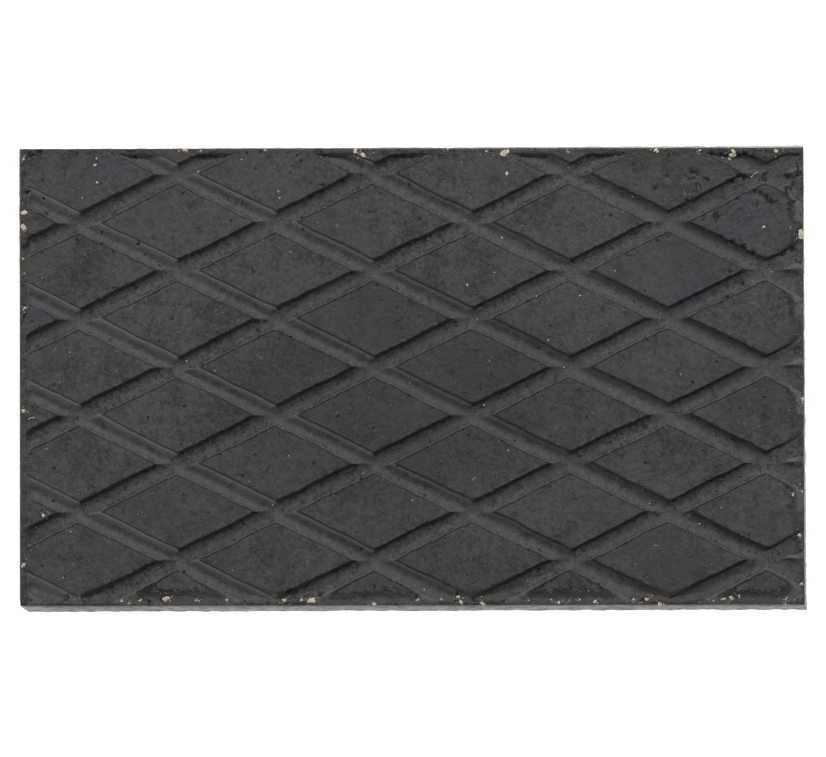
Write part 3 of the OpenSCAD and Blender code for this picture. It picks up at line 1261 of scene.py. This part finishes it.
    def _stain(self, tread: bpy.types.Object) -> None:
        """Mark where brown dirt lies round the clusters and in one corner, as the attribute "stain"."""
        mesh = tread.data
        places = np.empty(len(mesh.vertices) * 3)
        mesh.vertices.foreach_get("co", places)
        places = places.reshape(-1, 3)[:, :2] / MM
        edge = np.minimum(self.length / 2.0 - abs(places[:, 0]), self.width / 2.0 - abs(places[:, 1]))
        stain = np.clip(1.0 - edge / self.dirt_reach, 0.0, 1.0) * 0.5
        spots = [(-self.length / 2.0 + 3.0, self.width / 2.0 - 1.2, 3.4)]
        for cluster in self.clusters:
            spots.append((*self._spot(cluster, 0.0, cluster.inset), 0.8 + cluster.size * 0.9))
        for x, y, reach in spots:
            away = np.hypot(places[:, 0] - x, places[:, 1] - y)
            stain = np.maximum(stain, np.clip(1.25 - away / reach, 0.0, 1.0))
        stored = mesh.attributes.new("stain", "FLOAT", "POINT")
        stored.data.foreach_set("value", stain)

    def _spot(self, cluster: Cluster, along: float, inset: float) -> tuple[float, float]:
        """A place near a cluster, in millimetres, from steps along its edge and in from the edge."""
        run, sign = cluster.side.value
        spot = [0.0, 0.0]
        spot[run] = cluster.along + along
        spot[1 - run] = sign * ((self.width if run == 0 else self.length) / 2.0 - inset)
        return spot[0], spot[1]

    @staticmethod
    def _on_top(surface: BVHTree, x: float, y: float) -> Vector | None:
        """The tread's surface straight below a point given in millimetres, or None beside the tread."""
        return surface.ray_cast(Vector((x * MM, y * MM, 1.0)), Vector((0.0, 0.0, -1.0)))[0]

    def _crumb_seeds(self, surface: BVHTree, chance: random.Random) -> list[Seed]:
        """Put a few large crumbs and some small ones in every cluster.

        Args:
            surface: The tread's surface.
            chance: The source of randomness.

        Returns:
            The seeds.
        """
        seeds = []
        for cluster in self.clusters:
            large = 2 + round(cluster.size * 2.0)
            for number in range(large + round(2 + cluster.size * 5)):
                is_large = number < large
                spread = cluster.size * (0.17 if is_large else 0.55) * (number > 0)
                inset = max(cluster.inset + chance.gauss(0.0, spread), 0.05)
                point = self._on_top(surface, *self._spot(cluster, chance.gauss(0.0, spread * 1.2), inset))
                if point is None:
                    continue
                size = cluster.size * chance.uniform(0.38, 0.6) if is_large else chance.uniform(0.12, 0.28)
                size += cluster.size * 0.25 * (number == 0)
                tint = chance.uniform(0.3, 0.6) if is_large else chance.random()
                seeds.append(Seed(point, size, chance.uniform(0.0, 2.0 * math.pi), tint))
        return seeds

    def _fleck_seeds(self, surface: BVHTree, chance: random.Random) -> list[Seed]:
        """Scatter flecks over the top, more of them near the edges, and add the named ones.

        Args:
            surface: The tread's surface.
            chance: The source of randomness.

        Returns:
            The seeds.
        """
        places = list(self.flecks)
        for number in range(self.fleck_count):
            x = chance.uniform(-0.495, 0.495) * self.length
            y = chance.uniform(-0.49, 0.49) * self.width
            if number % 3 == 0:
                x, y = self._pushed_out(x, y, chance)
            places.append((x, y, 0.09 + 0.26 * chance.random() ** 3.0))
        seeds = []
        for x, y, size in places:
            point = self._on_top(surface, x, y)
            if point is not None:
                seeds.append(Seed(point, size, chance.uniform(0.0, 2.0 * math.pi), chance.uniform(0.0, 0.75)))
        return seeds

    def _pushed_out(self, x: float, y: float, chance: random.Random) -> tuple[float, float]:
        """Move a point out to one of the four borders, a little way in from the edge."""
        inset = chance.expovariate(0.6) + 0.2
        if chance.random() < 0.6:
            return x, math.copysign(self.width / 2.0 - inset, y)
        return math.copysign(self.length / 2.0 - inset, x), y

    def _fibre_seeds(self, surface: BVHTree, chance: random.Random) -> list[Seed]:
        """Scatter short loose fibres, most of them at the clusters, and add the named ones.

        Args:
            surface: The tread's surface.
            chance: The source of randomness.

        Returns:
            The seeds.
        """
        places = list(self.fibres)
        for cluster in self.clusters:
            for _ in range(round(cluster.size * 2.5)):
                inset = max(cluster.inset + chance.gauss(0.0, 0.5), 0.4)
                spot = self._spot(cluster, chance.gauss(0.0, 0.6) * cluster.size, inset)
                places.append((*spot, chance.uniform(0.4, 1.0), chance.uniform(0.0, 2.0 * math.pi)))
        for _ in range(self.fibre_count):
            x = chance.uniform(-0.48, 0.48) * self.length
            y = chance.uniform(-0.47, 0.47) * self.width
            places.append((x, y, chance.uniform(0.35, 0.9), chance.uniform(0.0, 2.0 * math.pi)))
        seeds = []
        for x, y, size, turn in places:
            point = self._on_top(surface, x, y)
            if point is not None:
                seeds.append(Seed(point, size, turn, chance.uniform(0.1, 0.7)))
        return seeds

    def _lump_tree(self, highest: float, material: bpy.types.Material) -> GeometryGraph:
        """Make the tree that puts a ragged flattened lump on every seed point.

        Args:
            highest: The level that no lump passes, in millimetres.
            material: The lumps' material.

        Returns:
            The tree.
        """
        sizes = {"Flatness": 0.4, "Raggedness": 0.34, "Highest": highest, "Seed": 3.0}
        g = GeometryGraph("ragged_lumps", sizes)
        lump = g.node("GeometryNodeMeshIcoSphere", {}, {"Radius": 0.5 * MM, "Subdivisions": 2})
        bodies = self._placed(g, g.out(lump, "Mesh"), (0.6, 0.6, 1.0), (1.4, 1.2, 1.0), 0.25)
        place = g.scaled(g.out(g.node("GeometryNodeInputPosition")), 1.0 / MM)
        sockets = {"Vector": place, "W": g.size("Seed"), "Scale": 5.0}
        torn = g.node("ShaderNodeTexNoise", {"noise_dimensions": "4D"}, sockets)
        sockets = {0: g.out(torn, "Color"), 1: (0.5, 0.5, 0.55)}
        shift = g.node("ShaderNodeVectorMath", {"operation": "SUBTRACT"}, sockets)
        amount = g.node("ShaderNodeCombineXYZ", {}, dict.fromkeys("XYZ", g.size("Raggedness")))
        sockets = {0: g.out(shift), 1: g.out(amount), 2: place}
        moved = g.node("ShaderNodeVectorMath", {"operation": "MULTIPLY_ADD"}, sockets)
        parts = g.node("ShaderNodeSeparateXYZ", {}, {0: g.out(moved)})
        level = g.lesser(g.out(parts, "Z"), g.size("Highest"), 0.1)
        sockets = {"X": g.out(parts, "X"), "Y": g.out(parts, "Y"), "Z": level}
        point = g.node("ShaderNodeCombineXYZ", {}, sockets)
        real = g.node("GeometryNodeRealizeInstances", {}, {"Geometry": bodies})
        sockets = {"Geometry": g.out(real), "Position": g.scaled(g.out(point), MM)}
        moved = g.node("GeometryNodeSetPosition", {}, sockets)
        g.finish(g.out(moved), material)
        return g

    def _strand_tree(self, material: bpy.types.Material) -> GeometryGraph:
        """Make the tree that lays a short bent fibre on every seed point.

        Args:
            material: The fibres' material.

        Returns:
            The tree.
        """
        g = GeometryGraph("bent_fibres", {"Radius": 0.035, "Flatness": 0.5})
        arc = g.node(
            "GeometryNodeCurveArc",
            {"mode": "RADIUS"},
            {"Resolution": 7, "Radius": 0.75 * MM, "Start Angle": 0.0, "Sweep Angle": math.radians(78.0)},
        )
        sockets = {"Resolution": 5, "Radius": g.size("Radius") * MM}
        section = g.node("GeometryNodeCurvePrimitiveCircle", {"mode": "RADIUS"}, sockets)
        tube = g.node(
            "GeometryNodeCurveToMesh",
            {},
            {"Curve": g.out(arc, "Curve"), "Profile Curve": g.out(section, "Curve"), "Fill Caps": True},
        )
        shift = (-0.55 * MM, -0.4 * MM, 0.05 * MM)
        centred = g.node("GeometryNodeTransform", {}, {"Geometry": g.out(tube), "Translation": shift})
        g.finish(self._placed(g, g.out(centred), (0.8, 0.6, 1.0), (1.2, 1.4, 1.0), 0.15), material)
        return g

    @staticmethod
    def _placed(
        g: GeometryGraph,
        body: Value,
        narrow: tuple[float, float, float],
        wide: tuple[float, float, float],
        tilt: float,
    ) -> Value:
        """Put a body on every seed point, turned and sized as the seed says.

        Args:
            g: The tree.
            body: The geometry to repeat.
            narrow: The least stretch along each axis.
            wide: The most stretch along each axis.
            tilt: How far a body may lean, in radians.

        Returns:
            The instances.
        """
        turn = g.node("GeometryNodeInputNamedAttribute", {"data_type": "FLOAT"}, {"Name": "turn"})
        size = g.node("GeometryNodeInputNamedAttribute", {"data_type": "FLOAT"}, {"Name": "size"})
        lean = g.node("FunctionNodeRandomValue", {"data_type": "FLOAT"}, {2: -tilt, 3: tilt, "Seed": 11})
        angles = g.node("ShaderNodeCombineXYZ", {}, {"X": g.out(lean, 1), "Z": g.out(turn)})
        sockets = {0: narrow, 1: wide, "Seed": 12}
        stretch = g.node("FunctionNodeRandomValue", {"data_type": "FLOAT_VECTOR"}, sockets)
        flat = g.node("ShaderNodeCombineXYZ", {}, {"X": 1.0, "Y": 1.0, "Z": g.size("Flatness")})
        sockets = {0: g.out(stretch), 1: g.out(flat)}
        squashed = g.node("ShaderNodeVectorMath", {"operation": "MULTIPLY"}, sockets)
        sockets = {0: g.out(squashed), "Scale": g.out(size)}
        sized = g.node("ShaderNodeVectorMath", {"operation": "SCALE"}, sockets)
        spread = g.node(
            "GeometryNodeInstanceOnPoints",
            {},
            {"Points": g.geometry(), "Instance": body, "Rotation": g.out(angles), "Scale": g.out(sized)},
        )
        return g.out(spread)


# ----------------------------------------------------------------------------------------------------------
# The tape and the liner


@dataclass
class FoamTape:
    """The double-coated foam tape: a foam core between two adhesive films."""

    core: str = "foam_core"
    films: tuple[str, ...] = ("upper_adhesive", "lower_adhesive")

    def dress(self, nodes: dict[str, bpy.types.Object]) -> list[bpy.types.Object]:
        """Give the tape's three layers their finishes.

        Args:
            nodes: The frame's nodes by name.

        Returns:
            The layers.
        """
        film = AdhesiveFilm().material()
        dress_node(nodes[self.core], ClosedCellFoam().material())
        for name in self.films:
            dress_node(nodes[name], film)
        return [nodes[self.core], *(nodes[name] for name in self.films)]


@dataclass
class ReleaseLiner:
    """The liner that covers the lower adhesive, in two halves that peel off."""

    halves: tuple[str, ...] = ("liner_left", "liner_right")

    def dress(self, nodes: dict[str, bpy.types.Object]) -> list[bpy.types.Object]:
        """Give both halves their paper.

        Args:
            nodes: The frame's nodes by name.

        Returns:
            The halves.
        """
        paper = LinerPaper().material()
        for name in self.halves:
            dress_node(nodes[name], paper)
        return [nodes[name] for name in self.halves]


def dress_node(node: bpy.types.Object, material: bpy.types.Material) -> None:
    """Put one material in every material slot of a frame node."""
    if not node.material_slots:
        node.data.materials.append(material)
    for slot in node.material_slots:
        slot.material = material


# ----------------------------------------------------------------------------------------------------------
# The room round the pad


@dataclass(frozen=True)
class SoftBox:
    """A square soft light. Places and sizes are metres, power is watts."""

    name: str
    place: tuple[float, float, float]
    size: float
    power: float

    def build(self, aim: Vector) -> bpy.types.Object:
        """Make the light.

        Args:
            aim: The point that it faces.

        Returns:
            The light's object.
        """
        lamp = bpy.data.lights.new(self.name, "AREA")
        lamp.shape = "SQUARE"
        lamp.size = self.size
        lamp.energy = self.power
        made = bpy.data.objects.new(self.name, lamp)
        made.location = self.place
        made.rotation_euler = (aim - Vector(self.place)).to_track_quat("-Z", "Y").to_euler()
        bpy.context.scene.collection.objects.link(made)
        return made


@dataclass
class Studio:
    """Pale floor, soft light and the camera, almost straight above the pad."""

    elevation: float = 87.0
    distance: float = 3.0
    view_width: float = 0.1606
    aim: tuple[float, float, float] = (0.0002, -0.0004, 0.006)
    roll: float = -0.1
    floor_half: float = 2.5
    sky: float = 0.30
    lights: tuple[SoftBox, ...] = (
        SoftBox("back_softbox", (0.05, 0.76, 1.0), 0.45, 13.5),
        SoftBox("left_softbox", (-0.24, 0.06, 0.18), 0.08, 0.07),
        SoftBox("right_softbox", (0.22, 0.12, 0.18), 0.08, 0.07),
    )

    def build(self) -> None:
        """Make the floor, the lights, the surrounding light and the camera."""
        self._lay_floor()
        for light in self.lights:
            light.build(Vector(self.aim))
        self._light_surroundings()
        self._set_camera()

    def _lay_floor(self) -> None:
        """Lay the floor on the level that the pad rests on."""
        half = self.floor_half
        mesh = bpy.data.meshes.new("floor")
        corners = [(-half, -half, 0.0), (half, -half, 0.0), (half, half, 0.0), (-half, half, 0.0)]
        mesh.from_pydata(corners, [], [(0, 1, 2, 3)])
        floor = add_object("floor", mesh)
        floor.data.materials.append(PaleFloor().material())

    def _light_surroundings(self) -> None:
        """Fill the room with even white light."""
        world = bpy.data.worlds.new("white_room")
        world.use_nodes = True
        background = world.node_tree.nodes["Background"]
        background.inputs["Color"].default_value = (1.0, 1.0, 1.0, 1.0)
        background.inputs["Strength"].default_value = self.sky
        bpy.context.scene.world = world

    def _set_camera(self) -> None:
        """Stand the camera in front of and above the pad, looking down at it."""
        lens = bpy.data.cameras.new("camera")
        lens.sensor_width = 36.0
        lens.lens = lens.sensor_width * self.distance / self.view_width
        lens.clip_start = 0.01
        camera = bpy.data.objects.new("camera", lens)
        angle = math.radians(self.elevation)
        back = Vector((0.0, -math.cos(angle), math.sin(angle)))
        camera.location = Vector(self.aim) + back * self.distance
        roll = Quaternion((0.0, 0.0, 1.0), math.radians(self.roll))
        camera.rotation_euler = ((-back).to_track_quat("-Z", "Y") @ roll).to_euler()
        bpy.context.scene.collection.objects.link(camera)
        scene = bpy.context.scene
        scene.camera = camera
        scene.view_settings.view_transform = "Standard"


# ----------------------------------------------------------------------------------------------------------
# The whole object


def report(pieces: list[bpy.types.Object]) -> None:
    """Log each piece's name and its number of faces."""
    for piece in pieces:
        log.info("%s: %d faces", piece.name, len(piece.data.polygons))


def main() -> None:
    """Load the frame and build the looks on it, class by class."""
    logging.basicConfig(level=logging.INFO, format="%(name)s: %(message)s")
    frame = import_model()
    Studio().build()

    moulding = Tread()
    tread = moulding.build(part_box("tread"), MouldedRubber().material())
    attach(tread, "pad")
    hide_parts("tread")
    report([tread])

    inclusions = Inclusions(moulding.length, moulding.width).build(tread, FibreCrumb().material())
    for piece in inclusions:
        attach(piece, "pad")
    report(inclusions)

    report(FoamTape().dress(frame["nodes"]))
    report(ReleaseLiner().dress(frame["nodes"]))


if __name__ == "__main__":
    main()
